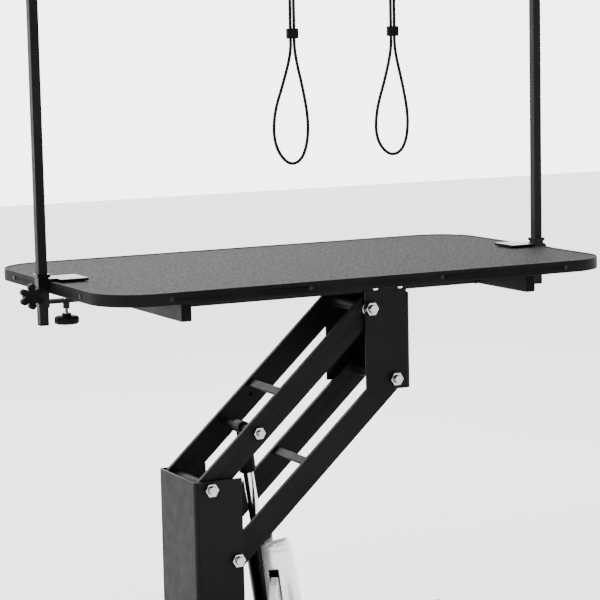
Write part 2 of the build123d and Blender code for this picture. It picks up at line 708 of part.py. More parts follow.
with BuildPart() as base_end_plugs:
    for side in (-1, 1):
        for end in (-1, 1):
            with BuildSketch(end_plane(end * BASE_LENGTH / 2)):
                with Locations((side * BASE_RAIL_Y, BASE_MID_Z)):
                    RectangleRounded(*BASE_TUBE, PLATE / 2)
            extrude(amount=end * PLATE)
save(base_end_plugs, "base_end_plugs")

with BuildPart() as anchor_bolts:
    with BuildSketch(Plane.XY.offset(COLUMN_BOTTOM)):
        with Locations(*[(x, y) for x in ANCHOR_X for y in (-ANCHOR_Y, ANCHOR_Y)]):
            hexagon_nut(10)
    extrude(amount=BOLT_R)
save(anchor_bolts, "anchor_bolts")

LUG_Y = (
    (BLOCK_Y[0] - SIDE_GAP - LUG_THICK, BLOCK_Y[0] - SIDE_GAP),
    (BLOCK_Y[1] + SIDE_GAP, BLOCK_Y[1] + SIDE_GAP + LUG_THICK),
)
with BuildPart() as deck_plate:
    with BuildSketch(Plane.XY.offset(BASE_TOP)):
        with Locations(((DECK_X[0] + DECK_X[1]) / 2, 0)):
            Rectangle(DECK_X[1] - DECK_X[0], 2 * BASE_RAIL_Y + BASE_TUBE[0])
    extrude(amount=DECK_THICK)
    for low, high in LUG_Y:
        with BuildSketch(side_plane(high)):
            with Locations((PUMP_PIVOT_X, PUMP_PIVOT_Z)):
                Circle(LUG_R)
            with Locations((PUMP_PIVOT_X, (PUMP_PIVOT_Z + BASE_TOP) / 2)):
                Rectangle(2 * LUG_R, PUMP_PIVOT_Z - BASE_TOP)
            with Locations((PUMP_PIVOT_X, PUMP_PIVOT_Z)):
                Circle(BOLT_R, mode=Mode.SUBTRACT)
        extrude(amount=high - low)
save(deck_plate, "deck_plate")

with BuildPart() as pump_pivot_pin:
    with BuildSketch(side_plane(LUG_Y[1][1])):
        with Locations((PUMP_PIVOT_X, PUMP_PIVOT_Z)):
            Circle(BOLT_R)
    extrude(amount=LUG_Y[1][1] - LUG_Y[0][0])
save(pump_pivot_pin, "pump_pivot_pin")

for label, x in (("left", -FOOT_X), ("right", FOOT_X)):
    for end, y in (("front", -BASE_RAIL_Y), ("rear", BASE_RAIL_Y)):
        with BuildPart() as levelling_foot:
            with BuildSketch(Plane.XY):
                with Locations((x, y)):
                    Circle(FOOT_R)
            extrude(amount=FOOT_HEIGHT)
            fillet(levelling_foot.faces().sort_by(Axis.Z)[-1].edges(), PLATE)
            with BuildSketch(Plane.XY.offset(FOOT_HEIGHT)):
                with Locations((x, y)):
                    Circle(STEM_R)
            extrude(amount=BASE_MID_Z - FOOT_HEIGHT)
            with BuildSketch(Plane.XY.offset(BASE_BOTTOM - 7)):
                with Locations((x, y)):
                    hexagon_nut(9)
            extrude(amount=6)
        save(levelling_foot, f"levelling_foot_{end}_{label}")


# ---------------------------------------------------------------- clamps and posts
def square_ring(outer, inner):
    """Square tube section, centred on the current location."""
    Rectangle(outer, outer)
    Rectangle(inner, inner, mode=Mode.SUBTRACT)


SLEEVE_BORE = POST_SIDE + 2 * SLEEVE_GAP
SLEEVE_INNER_X = POST_X - SLEEVE_SIDE / 2
SLEEVE_OUTER_X = POST_X + SLEEVE_SIDE / 2
STUD_R = 4.0
STUD_END = 3.0
KNOB_HUB_R = 8.0
CLAMP_TIP_R = 2.0
BOSS_R = 6.5
BOSS_BOTTOM = 831.0
HUB_R = 9.0
HUB_Z = (816.0, 821.7)
WHEEL_R = 23.5
WHEEL_BOTTOM = 801.6
WHEEL_GRIPS = 12
GRIP_R = 3.5


def knob_plane(side, distance):
    """Plane square to a star knob's stud, a distance towards the knob."""
    return Plane(origin=(side * KNOB_X, CLAMP_Y + side * distance, KNOB_Z), z_dir=(0, side, 0))


def disc(height, x, radius):
    """Circle on a level plane, on the clamp screw's side."""
    with BuildSketch(Plane.XY.offset(height)) as round_face:
        with Locations((x, CLAMP_Y)):
            Circle(radius)
    return round_face.sketch


# The right clamp is the left one turned half round: its knob is behind its post.
for side, label in ((-1, "left"), (1, "right")):
    screw_x = side * CLAMP_SCREW_X
    with BuildPart() as clamp_body:
        with BuildSketch(Plane.XY.offset(SLEEVE_SPAN[0])):
            with Locations((side * POST_X, CLAMP_Y)):
                Rectangle(SLEEVE_SIDE, SLEEVE_SIDE)
        extrude(amount=SLEEVE_SPAN[1] - SLEEVE_SPAN[0])
        with BuildSketch(Plane.XY.offset(SLEEVE_SPAN[1])):
            with Locations((side * POST_X, CLAMP_Y)):
                Rectangle(COLLAR_SIDE, COLLAR_SIDE)
        extrude(amount=COLLAR_TOP - SLEEVE_SPAN[1])
        with BuildSketch(Plane.XY.offset(TABLE_TOP)):
            with Locations((side * (JAW_X[0] + JAW_X[1]) / 2, CLAMP_Y)):
                Rectangle(JAW_X[1] - JAW_X[0], 2 * JAW_HALF_Y)
            with Locations((side * (JAW_X[1] + SLEEVE_INNER_X) / 2, CLAMP_Y)):
                Rectangle(SLEEVE_INNER_X - JAW_X[1], 2 * NECK_HALF_Y)
        extrude(amount=JAW_THICK)
        with BuildSketch(Plane.XY.offset(LOWER_JAW_Z[0])):
            with Locations((side * (SLEEVE_INNER_X + LOWER_JAW_TIP_X) / 2, CLAMP_Y)):
                Rectangle(SLEEVE_INNER_X - LOWER_JAW_TIP_X, 2 * NECK_HALF_Y)
        extrude(amount=LOWER_JAW_Z[1] - LOWER_JAW_Z[0])
        extrude(disc(BOSS_BOTTOM, screw_x, BOSS_R), amount=LOWER_JAW_Z[0] - BOSS_BOTTOM)
        screw_bore = disc(BOSS_BOTTOM, screw_x, CLAMP_SCREW_R + RUN_GAP)
        extrude(screw_bore, amount=LOWER_JAW_Z[1] - BOSS_BOTTOM, mode=Mode.SUBTRACT)
        with BuildSketch(side_plane(CLAMP_Y + EAR_HALF_Y)):
            with Locations((side * KNOB_X, KNOB_Z)):
                Circle(EAR_R)
            with Locations((side * (SLEEVE_OUTER_X + KNOB_X) / 2, KNOB_Z)):
                Rectangle(KNOB_X - SLEEVE_OUTER_X, 2 * EAR_R)
        extrude(amount=2 * EAR_HALF_Y)
        with BuildSketch(Plane.XY.offset(SLEEVE_SPAN[0])):
            with Locations((side * POST_X, CLAMP_Y)):
                Rectangle(SLEEVE_BORE, SLEEVE_BORE)
        extrude(amount=COLLAR_TOP - SLEEVE_SPAN[0], mode=Mode.SUBTRACT)
        with BuildSketch(Plane.XY.offset(KNOB_Z - 1.5 * EAR_R)):
            with Locations((side * (POST_X + KNOB_X + EAR_R) / 2, CLAMP_Y)):
                Rectangle(KNOB_X + EAR_R - POST_X, EAR_SPLIT)
        extrude(amount=3 * EAR_R, mode=Mode.SUBTRACT)
        with BuildSketch(knob_plane(side, -EAR_HALF_Y)):
            Circle(STUD_R + RUN_GAP)
        extrude(amount=2 * EAR_HALF_Y, mode=Mode.SUBTRACT)
    save(clamp_body, f"clamp_body_{label}")

    with BuildPart() as clamp_foot:
        extrude(disc(CLAMP_FOOT[0], screw_x, CLAMP_FOOT_R), amount=CLAMP_FOOT[1] - CLAMP_FOOT[0])
        tip_bore = disc(CLAMP_FOOT[0], screw_x, CLAMP_TIP_R + RUN_GAP)
        extrude(tip_bore, amount=PLATE, mode=Mode.SUBTRACT)
    save(clamp_foot, f"clamp_foot_{label}")

    with BuildPart() as clamp_screw:
        extrude(disc(WHEEL_BOTTOM, screw_x, WHEEL_R), amount=HUB_Z[0] - WHEEL_BOTTOM)
        fillet(clamp_screw.edges().filter_by(GeomType.CIRCLE), PLATE)
        with BuildSketch(Plane.XY.offset(WHEEL_BOTTOM)):
            with Locations((screw_x, CLAMP_Y)):
                with PolarLocations(WHEEL_R + GRIP_R / 2, WHEEL_GRIPS):
                    Circle(GRIP_R)
        extrude(amount=HUB_Z[0] - WHEEL_BOTTOM, mode=Mode.SUBTRACT)
        extrude(disc(HUB_Z[0], screw_x, HUB_R), amount=HUB_Z[1] - HUB_Z[0])
        shaft = disc(HUB_Z[1], screw_x, CLAMP_SCREW_R)
        extrude(shaft, amount=CLAMP_FOOT[0] - SIDE_GAP - HUB_Z[1])
        extrude(disc(CLAMP_FOOT[0] - SIDE_GAP, screw_x, CLAMP_TIP_R), amount=PLATE)
    save(clamp_screw, f"clamp_screw_{label}")

    with BuildPart() as star_knob:
        with BuildSketch(knob_plane(side, KNOB_SPAN[0])):
            Circle(KNOB_CORE_R)
            with PolarLocations(KNOB_LOBE_AT, 6):
                Circle(KNOB_LOBE_R)
        extrude(amount=KNOB_SPAN[1] - KNOB_SPAN[0])
        with BuildSketch(knob_plane(side, EAR_HALF_Y + SIDE_GAP)):
            Circle(KNOB_HUB_R)
        extrude(amount=KNOB_SPAN[0] - EAR_HALF_Y - SIDE_GAP)
        with BuildSketch(knob_plane(side, -EAR_HALF_Y - STUD_END)):
            Circle(STUD_R)
        extrude(amount=EAR_HALF_Y + STUD_END + KNOB_SPAN[0])
    save(star_knob, f"star_knob_{label}")

with BuildPart() as posts:
    with BuildSketch(Plane.XY.offset(POST_BOTTOM)):
        for x in (-POST_X, POST_X):
            with Locations((x, CLAMP_Y)):
                square_ring(POST_SIDE, POST_SIDE - 2 * POST_WALL)
    extrude(amount=POST_TOP - POST_BOTTOM)
save(posts, "posts")

with BuildPart() as post_end_caps:
    with BuildSketch(Plane.XY.offset(POST_BOTTOM)):
        with Locations((-POST_X, CLAMP_Y), (POST_X, CLAMP_Y)):
            Rectangle(POST_SIDE, POST_SIDE)
    extrude(amount=-PLATE)
save(post_end_caps, "post_end_caps")

BAR_HALF = POST_X - ELBOW_SIDE / 2
BAR_MID_Z = POST_TOP + ELBOW_SIDE / 2
with BuildPart() as corner_elbows:
    with BuildSketch(Plane.XY.offset(POST_TOP)):
        with Locations((-POST_X, CLAMP_Y), (POST_X, CLAMP_Y)):
            Rectangle(ELBOW_SIDE, ELBOW_SIDE)
    extrude(amount=ELBOW_SIDE)
save(corner_elbows, "corner_elbows")

with BuildPart() as overhead_bar:
    with BuildSketch(end_plane(-BAR_HALF)):
        with Locations((CLAMP_Y, BAR_MID_Z)):
            square_ring(POST_SIDE, POST_SIDE - 2 * POST_WALL)
    extrude(amount=2 * BAR_HALF)
    with BuildSketch(Plane.XY.offset(BAR_MID_Z - POST_SIDE / 2)):
        with Locations(*[(x, CLAMP_Y) for x in NOOSE_X]):
            Circle(WIRE_R)
    extrude(amount=POST_SIDE, mode=Mode.SUBTRACT)
save(overhead_bar, "overhead_bar")

# ---------------------------------------------------------------- nooses
RING_Z = EYE_Z - EYE_R + 2 * WIRE_R + SIDE_GAP - RING_R
FERRULE_TOP = 1722.0
FERRULE_SIZE = (19.0, 12.0)


with BuildPart() as eye_bolts:
    for x in NOOSE_X:
        with Locations(Location((x, CLAMP_Y, EYE_Z), (90, 0, 0))):
            Torus(EYE_R, WIRE_R)
        with Locations(Location((x, CLAMP_Y, EYE_Z - EYE_R), (0, 90, 0))):
            Cylinder(WIRE_R, EYE_SEAT)
        with BuildSketch(Plane.XY.offset(EYE_Z + EYE_R)):
            with Locations((x, CLAMP_Y)):
                Circle(WIRE_R)
        extrude(amount=BAR_MID_Z + POST_SIDE / 2 - EYE_Z - EYE_R + PLATE)
save(eye_bolts, "eye_bolts")

LOOPS = {
    "left": [(-4, 1300), (-22, 1242), (-42, 1188), (-46, 1138), (-34, 1102), (-10, 1080), (14, 1088),
             (28, 1118), (32, 1166), (22, 1226), (4, 1300)],
    "right": [(-4, 1300), (-20, 1240), (-38, 1188), (-43, 1140), (-32, 1108), (-8, 1089), (16, 1096),
              (30, 1124), (33, 1170), (22, 1230), (4, 1300)],
}


def corner_radii(points):
    """Largest tangent arcs that both runs at each corner leave room for."""
    radii = []
    for before, here, after in zip(points, points[1:], points[2:]):
        run_in = (here[0] - before[0], here[1] - before[1])
        run_out = (after[0] - here[0], after[1] - here[1])
        shorter = min(hypot(*run_in), hypot(*run_out))
        turn = Vector(*run_in).get_angle(Vector(*run_out))
        radii.append(0.45 * shorter / tan(radians(turn) / 2))
    return radii


for label, noose_x in zip(("left", "right"), NOOSE_X):
    with BuildPart() as noose_hook:
        with Locations(Location((noose_x, CLAMP_Y, RING_Z), (0, 90, 0))):
            Torus(RING_R, WIRE_R)
        with BuildSketch(Plane.XY.offset(FERRULE_TOP)):
            with Locations((noose_x, CLAMP_Y)):
                Circle(WIRE_R + 1)
        extrude(amount=RING_Z - RING_R - FERRULE_TOP)
        with BuildSketch(Plane.XY.offset(STRAND_TOP)):
            with Locations((noose_x, CLAMP_Y)):
                RectangleRounded(*FERRULE_SIZE, PLATE)
        extrude(amount=FERRULE_TOP - STRAND_TOP)
    save(noose_hook, f"noose_hook_{label}")

    route = [(-STRAND_X, STRAND_TOP)] + LOOPS[label] + [(STRAND_X, STRAND_TOP)]
    radii = corner_radii(route)
    points = [(noose_x + x, z) for x, z in route]
    with BuildPart() as noose_cord:
        with BuildLine(side_plane(CLAMP_Y)):
            FilletPolyline(*points, radius=radii)
        with BuildSketch(Plane(origin=(noose_x - STRAND_X, CLAMP_Y, STRAND_TOP), z_dir=(0, 0, -1))):
            Circle(CORD_R)
        sweep()
    save(noose_cord, f"noose_cord_{label}")

    with BuildPart() as noose_slider:
        with BuildSketch(Plane.XY.offset(SLIDER_Z[0])):
            with Locations((noose_x, CLAMP_Y)):
                RectangleRounded(24, 15, 5)
                Rectangle(2 * (STRAND_X + CORD_R + SIDE_GAP), 2 * (CORD_R + SIDE_GAP), mode=Mode.SUBTRACT)
        extrude(amount=SLIDER_Z[1] - SLIDER_Z[0])
    save(noose_slider, f"noose_slider_{label}")
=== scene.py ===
"""Hydraulic pet grooming table: materials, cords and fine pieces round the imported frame."""
import json
import math
from functools import partial

import bmesh
import bpy
from mathutils import Matrix, Vector


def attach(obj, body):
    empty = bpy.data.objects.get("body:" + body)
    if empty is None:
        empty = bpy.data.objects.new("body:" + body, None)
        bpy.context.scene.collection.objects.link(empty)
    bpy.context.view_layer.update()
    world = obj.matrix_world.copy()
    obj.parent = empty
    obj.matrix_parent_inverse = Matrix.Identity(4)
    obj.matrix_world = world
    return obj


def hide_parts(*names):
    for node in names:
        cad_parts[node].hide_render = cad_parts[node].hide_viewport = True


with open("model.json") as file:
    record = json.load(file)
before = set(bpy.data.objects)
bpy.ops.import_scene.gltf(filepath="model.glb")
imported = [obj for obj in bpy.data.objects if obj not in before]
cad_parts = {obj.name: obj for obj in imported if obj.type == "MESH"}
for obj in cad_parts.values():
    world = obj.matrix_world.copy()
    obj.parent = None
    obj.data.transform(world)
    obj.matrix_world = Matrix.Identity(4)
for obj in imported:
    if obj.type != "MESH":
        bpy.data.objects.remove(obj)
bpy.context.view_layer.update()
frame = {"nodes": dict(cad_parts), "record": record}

NODES = frame["nodes"]
TAU = 2 * math.pi
UP = (0, 0, 1)
FRONT = (0, -1, 0)
DEPTH = (0, 1, 0)


# ---------------------------------------------------------------- camera
CAMERA_RIGHT = (0.89306, -0.44946, -0.02061)
CAMERA_UP = (0.07534, 0.10422, 0.99169)
CAMERA_PLACE = (-1.954, -3.902, 1.366)


def make_camera():
    """The camera at the reference viewing angle, a long lens from the front left."""
    right = Vector(CAMERA_RIGHT)
    up = Vector(CAMERA_UP)
    data = bpy.data.cameras.new("camera")
    data.sensor_width = 36.0
    data.lens = 131.5
    data.clip_end = 60.0
    camera = bpy.data.objects.new("camera", data)
    bpy.context.scene.collection.objects.link(camera)
    turn = Matrix((right, up, right.cross(up))).transposed().to_4x4()
    camera.matrix_world = Matrix.Translation(CAMERA_PLACE) @ turn
    bpy.context.scene.camera = camera


make_camera()


# ---------------------------------------------------------------- materials
WHITE = (1, 1, 1)
BLACK = (0, 0, 0)
WORN_WIDTH = 0.0012
WORN_SHARE = 0.75


def fill_ramp(node, stops):
    """Sets the stops of a colour ramp, each a position and a colour."""
    elements = node.color_ramp.elements
    while len(elements) < len(stops):
        elements.new(0.5)
    for element, (position, colour) in zip(elements, stops):
        element.position = position
        element.color = (*colour, 1.0)


class Nodes:
    """Small helper that builds one material's node tree."""

    def __init__(self, name):
        self.material = bpy.data.materials.new(name)
        self.material.use_nodes = True
        self.tree = self.material.node_tree
        self.shader = self.tree.nodes["Principled BSDF"]
        self.place = self.add("TexCoord").outputs["Object"]

    def add(self, kind, inputs=(), **settings):
        """A shader node with its settings and the values of its inputs."""
        node = self.tree.nodes.new("ShaderNode" + kind)
        for key, value in settings.items():
            setattr(node, key, value)
        for name, value in dict(inputs).items():
            node.inputs[name].default_value = value
        return node

    def link(self, source, target):
        self.tree.links.new(source, target)

    def stretched(self, scale):
        """Object coordinates, scaled by axis."""
        node = self.add("Mapping", {"Scale": scale})
        self.link(self.place, node.inputs["Vector"])
        return node.outputs["Vector"]

    def noise(self, scale, detail=3.0, rough=0.5, source=None):
        node = self.add("TexNoise", {"Scale": scale, "Detail": detail, "Roughness": rough})
        self.link(source or self.place, node.inputs["Vector"])
        return node.outputs["Fac"]

    def voronoi(self, scale, feature="F1"):
        node = self.add("TexVoronoi", {"Scale": scale}, feature=feature)
        self.link(self.place, node.inputs["Vector"])
        return node.outputs["Distance"]

    def wave(self, scale, direction, distortion=0.0, source=None):
        inputs = {"Scale": scale, "Distortion": distortion}
        node = self.add("TexWave", inputs, bands_direction=direction)
        self.link(source or self.place, node.inputs["Vector"])
        return node.outputs["Fac"]

    def maths(self, operation, first, second):
        """Sum, product or the like of an output and an output or number."""
        node = self.add("Math", operation=operation)
        self.link(first, node.inputs[0])
        if isinstance(second, float):
            node.inputs[1].default_value = second
        else:
            self.link(second, node.inputs[1])
        return node.outputs["Value"]

    def weighted(self, first, share, second, other_share):
        """Sum of two outputs, each times its share."""
        scaled = self.maths("MULTIPLY", first, share)
        return self.maths("ADD", scaled, self.maths("MULTIPLY", second, other_share))

    def ramp(self, factor, stops):
        node = self.add("ValToRGB")
        fill_ramp(node, stops)
        self.link(factor, node.inputs["Fac"])
        return node.outputs["Color"]

    def spread(self, factor, low, high):
        """Factor spread between two values, since noise mostly stays within 0.3 and 0.7."""
        limits = {"From Min": 0.3, "From Max": 0.7, "To Min": low, "To Max": high}
        node = self.add("MapRange", limits)
        self.link(factor, node.inputs["Value"])
        return node.outputs["Result"]

    def blend(self, factor, first, second):
        """Mixes an output with a fixed colour."""
        mix = self.add("MixRGB", {"Color2": (*second, 1.0)})
        self.link(factor, mix.inputs["Fac"])
        self.link(first, mix.inputs["Color1"])
        return mix.outputs["Color"]

    def worn_edges(self, base, worn):
        """Mixes in a lighter colour along sharp edges, in broken lengths."""
        bevel = self.add("Bevel", {"Radius": WORN_WIDTH}, samples=4)
        geometry = self.add("NewGeometry")
        match = self.add("VectorMath", operation="DOT_PRODUCT")
        self.link(bevel.outputs["Normal"], match.inputs[0])
        self.link(geometry.outputs["True Normal"], match.inputs[1])
        edge = self.ramp(match.outputs["Value"], [(0.86, WHITE), (0.985, BLACK)])
        patches = self.noise(scale=55.0, detail=6.0, rough=0.7)
        rubbed = self.ramp(patches, [(0.42, (0.25, 0.25, 0.25)), (0.62, WHITE)])
        amount = self.maths("MULTIPLY", self.maths("MULTIPLY", edge, rubbed), WORN_SHARE)
        return self.blend(amount, base, worn)

    def colour(self, output):
        self.link(output, self.shader.inputs["Base Color"])

    def roughness(self, output):
        self.link(output, self.shader.inputs["Roughness"])

    def shine(self, level):
        self.shader.inputs["Specular IOR Level"].default_value = level

    def bump(self, height, distance, strength):
        node = self.add("Bump", {"Distance": distance, "Strength": strength})
        self.link(height, node.inputs["Height"])
        self.link(node.outputs["Normal"], self.shader.inputs["Normal"])


def powder_coat(name, dark, light, rough=(0.36, 0.5), shine=0.2):
    """Satin powder coat with a fine orange peel and faint handling marks."""
    n = Nodes(name)
    tone = n.ramp(n.noise(scale=7.0, detail=4.0), [(0.35, dark), (0.65, light)])
    n.colour(n.worn_edges(tone, tuple(3.0 * c for c in light)))
    n.roughness(n.spread(n.noise(scale=35.0, detail=5.0, rough=0.6), *rough))
    n.bump(n.noise(scale=900.0, detail=2.0), distance=0.00012, strength=0.5)
    n.shine(shine)
    return n.material


def polished(name, colour, dim, rough=(0.02, 0.09), metallic=1.0):
    """Polished plated metal with faint smudges."""
    n = Nodes(name)
    n.shader.inputs["Metallic"].default_value = metallic
    shade = tuple(c * dim for c in colour)
    n.colour(n.ramp(n.noise(scale=18.0, detail=4.0), [(0.3, shade), (0.7, colour)]))
    n.roughness(n.spread(n.noise(scale=26.0, detail=6.0, rough=0.65), *rough))
    n.bump(n.noise(scale=120.0, detail=2.0), distance=0.00002, strength=0.4)
    return n.material


def moulded(name, dark, light, rough=(0.38, 0.55), grain=1400.0, depth=0.00008):
    """Moulded plastic or rubber with a fine grain."""
    n = Nodes(name)
    n.colour(n.ramp(n.noise(scale=22.0, detail=4.0), [(0.3, dark), (0.7, light)]))
    n.roughness(n.spread(n.noise(scale=60.0, detail=4.0), *rough))
    n.bump(n.voronoi(grain), distance=depth, strength=0.6)
    n.shine(0.03)
    return n.material


def mat_rubber():
    """Pebbled, leathery rubber sheet of the tabletop."""
    n = Nodes("mat_rubber")
    fine = n.noise(scale=420.0, detail=5.0, rough=0.6)
    patch = n.noise(scale=5.0, detail=5.0, rough=0.55)
    tone = n.weighted(fine, 0.55, patch, 0.45)
    dark, light = (0.0045, 0.0045, 0.0052), (0.0065, 0.0065, 0.0074)
    n.colour(n.ramp(tone, [(0.34, dark), (0.66, light)]))
    n.roughness(n.spread(n.noise(scale=140.0, detail=4.0), 0.55, 0.75))
    pebble = n.voronoi(620.0, feature="SMOOTH_F1")
    height = n.maths("ADD", pebble, n.maths("MULTIPLY", fine, 0.6))
    n.bump(height, distance=0.00035, strength=0.55)
    n.shine(0.03)
    return n.material


def plywood():
    """Board with a dark phenolic film on its faces and faint plies on its edge."""
    n = Nodes("board_ply")
    grain = n.noise(scale=60.0, detail=6.0, rough=0.6, source=n.stretched((0.25, 3.0, 1.0)))
    plies = n.wave(scale=190.0, direction="Z", distortion=0.4)
    tone = n.weighted(grain, 0.7, plies, 0.3)
    n.colour(n.ramp(tone, [
        (0.25, (0.012, 0.010, 0.009)), (0.6, (0.022, 0.018, 0.016)), (0.8, (0.034, 0.028, 0.024)),
    ]))
    n.roughness(n.spread(grain, 0.55, 0.75))
    n.bump(grain, distance=0.0002, strength=0.5)
    return n.material


def braid():
    """Tight diagonal braid of a nylon cord, with painted shade in the grooves between its strands.
    """
    n = Nodes("cord_black")
    up = n.wave(scale=260.0, direction="DIAGONAL")
    down = n.wave(scale=260.0, direction="DIAGONAL", source=n.stretched((-1.0, -1.0, 1.0)))
    weave = n.maths("MAXIMUM", up, down)
    # Colour follows the bump's weave: the grooves are painted darker than the strand crests, as
    # painted shade between the strands.
    n.colour(n.ramp(weave, [(0.2, (0.001, 0.001, 0.001)), (0.9, (0.0045, 0.0045, 0.005))]))
    n.roughness(n.spread(n.noise(scale=300.0), 0.5, 0.7))
    n.bump(weave, distance=0.0003, strength=0.5)
    n.shine(0.08)
    return n.material


PLASTIC = {"dark": (0.0025, 0.0025, 0.003), "light": (0.005, 0.005, 0.0055)}
SHANK_FROM = 0.8217
SHANK_CHROME = (0.9, 0.9, 0.91)


def clamp_screw_finish():
    """Black moulded hand wheel below SHANK_FROM, chrome shank above it."""
    n = Nodes("clamp_screw")
    split = n.add("SeparateXYZ")
    n.link(n.place, split.inputs["Vector"])
    shank = n.maths("GREATER_THAN", split.outputs["Z"], SHANK_FROM)
    mottle = n.noise(scale=22.0, detail=4.0)
    plastic = n.ramp(mottle, [(0.3, PLASTIC["dark"]), (0.7, PLASTIC["light"])])
    n.colour(n.blend(shank, plastic, SHANK_CHROME))
    n.link(shank, n.shader.inputs["Metallic"])
    grip = n.spread(n.noise(scale=60.0, detail=4.0), 0.38, 0.55)
    n.roughness(n.maths("SUBTRACT", grip, n.maths("MULTIPLY", shank, 0.33)))
    n.bump(n.voronoi(1400.0), distance=0.00006, strength=0.5)
    n.shine(0.05)
    return n.material


MATERIALS = {
    "frame_black": powder_coat(
        "frame_black", (0.0032, 0.0032, 0.0036), (0.0056, 0.0056, 0.006),
        rough=(0.44, 0.56), shine=0.08,
    ),
    "trim_black": powder_coat(
        "trim_black", (0.0045, 0.0045, 0.005), (0.007, 0.007, 0.0075),
        rough=(0.44, 0.56), shine=0.025,
    ),
    "screw_black": powder_coat("screw_black", (0.002, 0.002, 0.002), (0.004, 0.004, 0.004)),
    "chrome": polished("chrome", (0.93, 0.93, 0.94), dim=0.94),
    "zinc": polished("zinc", (0.86, 0.86, 0.87), dim=0.8, rough=(0.12, 0.3)),
    "black_plastic": moulded("black_plastic", **PLASTIC),
    "black_rubber": moulded(
        "black_rubber", (0.004, 0.004, 0.0045), (0.008, 0.008, 0.009),
        rough=(0.55, 0.75), grain=700.0, depth=0.0002,
    ),
    "mat_rubber": mat_rubber(),
    "board_ply": plywood(),
    "cord_black": braid(),
}
COVER_PLATE = polished(
    "cover_plate", (0.95, 0.95, 0.96), dim=0.97, rough=(0.24, 0.34), metallic=0.45,
)
THREAD_STEEL = polished("thread_steel", (0.22, 0.22, 0.23), dim=0.6, rough=(0.2, 0.35))
pivot_nut = partial(polished, colour=(0.46, 0.46, 0.47), dim=0.7, rough=(0.08, 0.2))

# Finishes of the nodes whose names start so, in place of their slot's.
OWN_FINISH = {
    "clamp_screw": clamp_screw_finish(),
    "clamp_body": powder_coat(
        "clamp_gloss", (0.002, 0.002, 0.0024), (0.0035, 0.0035, 0.004),
        rough=(0.16, 0.28), shine=0.09,
    ),
    "pump_cover": COVER_PLATE,
    "lowering_lever": COVER_PLATE,
    "ram_barrel": powder_coat(
        "barrel_black", (0.0012, 0.0012, 0.0014), (0.002, 0.002, 0.0022),
        rough=(0.3, 0.42), shine=0.12,
    ),
    "ram_rod": polished("rod_chrome", (0.8, 0.8, 0.81), dim=0.9, rough=(0.10, 0.18)),
    "column_pivot": pivot_nut("pivot_nuts"),
    "bracket_pivot": pivot_nut("bracket_nuts"),
    "ram_pivot_bolt": pivot_nut("ram_nut"),
}
WELD_WITHIN = 0.000002
EDGE_WIDTH = 0.0007
EDGE_FROM = math.radians(35)


def dress_cad_nodes():
    """Gives each CAD node its material and, but for the cords, a small bevel on its edges."""
    slots = {row["node"]: row["material_slot"] for row in frame["record"]["subparts"]}
    for name, node in NODES.items():
        own = [finish for start, finish in OWN_FINISH.items() if name.startswith(start)]
        node.data.materials.clear()
        node.data.materials.append(own[0] if own else MATERIALS[slots[name]])
        if name.startswith("noose_cord"):
            continue
        merge = node.modifiers.new("weld", "WELD")
        merge.merge_threshold = WELD_WITHIN
        bevel = node.modifiers.new("edge", "BEVEL")
        bevel.width = EDGE_WIDTH
        bevel.segments = 2
        bevel.limit_method = "ANGLE"
        bevel.angle_limit = EDGE_FROM


# ---------------------------------------------------------------- cords
NOOSE_X = {"left": -0.013, "right": 0.213}
NOOSE_Y = -0.010
STRAND = 0.004
STRAND_TOP = 1.700
STRAND_FOOT = 1.34
CORD_DIAMETER = 0.0064
LOOPS = {
    "left": [
        (-0.004, 1.300), (-0.022, 1.242), (-0.042, 1.188), (-0.046, 1.138), (-0.034, 1.102),
        (-0.010, 1.080), (0.014, 1.088), (0.028, 1.118), (0.032, 1.166), (0.022, 1.226),
        (0.004, 1.300),
    ],
    "right": [
        (-0.004, 1.300), (-0.020, 1.240), (-0.038, 1.188), (-0.043, 1.140), (-0.032, 1.108),
        (-0.008, 1.089), (0.016, 1.096), (0.030, 1.124), (0.033, 1.170), (0.022, 1.230),
        (0.004, 1.300),
    ],
}


def make_noose(side):
    """One noose cord: a smooth spline down one strand, round the loop and up the other."""
    centre = NOOSE_X[side]
    down = [(-STRAND, STRAND_TOP), (-STRAND, STRAND_FOOT)]
    up = [(STRAND, STRAND_FOOT), (STRAND, STRAND_TOP)]
    route = down + LOOPS[side] + up
    curve = bpy.data.curves.new(f"noose_{side}_line", "CURVE")
    curve.dimensions = "3D"
    spline = curve.splines.new("NURBS")
    spline.points.add(len(route) - 1)
    for point, (x, z) in zip(spline.points, route):
        point.co = (centre + x, NOOSE_Y, z, 1.0)
    spline.order_u = 3
    spline.use_endpoint_u = True
    spline.resolution_u = 12
    curve.bevel_depth = CORD_DIAMETER / 2
    curve.bevel_resolution = 6
    curve.use_fill_caps = True
    cord = bpy.data.objects.new(f"noose_line_{side}", curve)
    bpy.context.scene.collection.objects.link(cord)
    cord.data.materials.append(MATERIALS["cord_black"])
    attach(cord, f"noose_{side}")
    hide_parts(f"noose_cord_{side}")


# ---------------------------------------------------------------- mesh tools
BEAD_SIDES = 10
BEAD_END = 0.6
RIPPLE_STEP = 1.7
THREAD_SIDES = 32
THREAD_ROOT = -0.1
THREAD_CREST = (0.42, 0.58)
CORNER_STEPS = 4


def add_piece(name, mesh_maker, body, slot, finish=None):
    """Makes a mesh with a function and puts it in the scene, riding on a body."""
    bm = bmesh.new()
    mesh_maker(bm)
    bmesh.ops.recalc_face_normals(bm, faces=bm.faces[:])
    mesh = bpy.data.meshes.new(name)
    bm.to_mesh(mesh)
    bm.free()
    mesh.shade_smooth()
    piece = bpy.data.objects.new(name, mesh)
    bpy.context.scene.collection.objects.link(piece)
    piece.data.materials.append(finish or MATERIALS[slot])
    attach(piece, body)


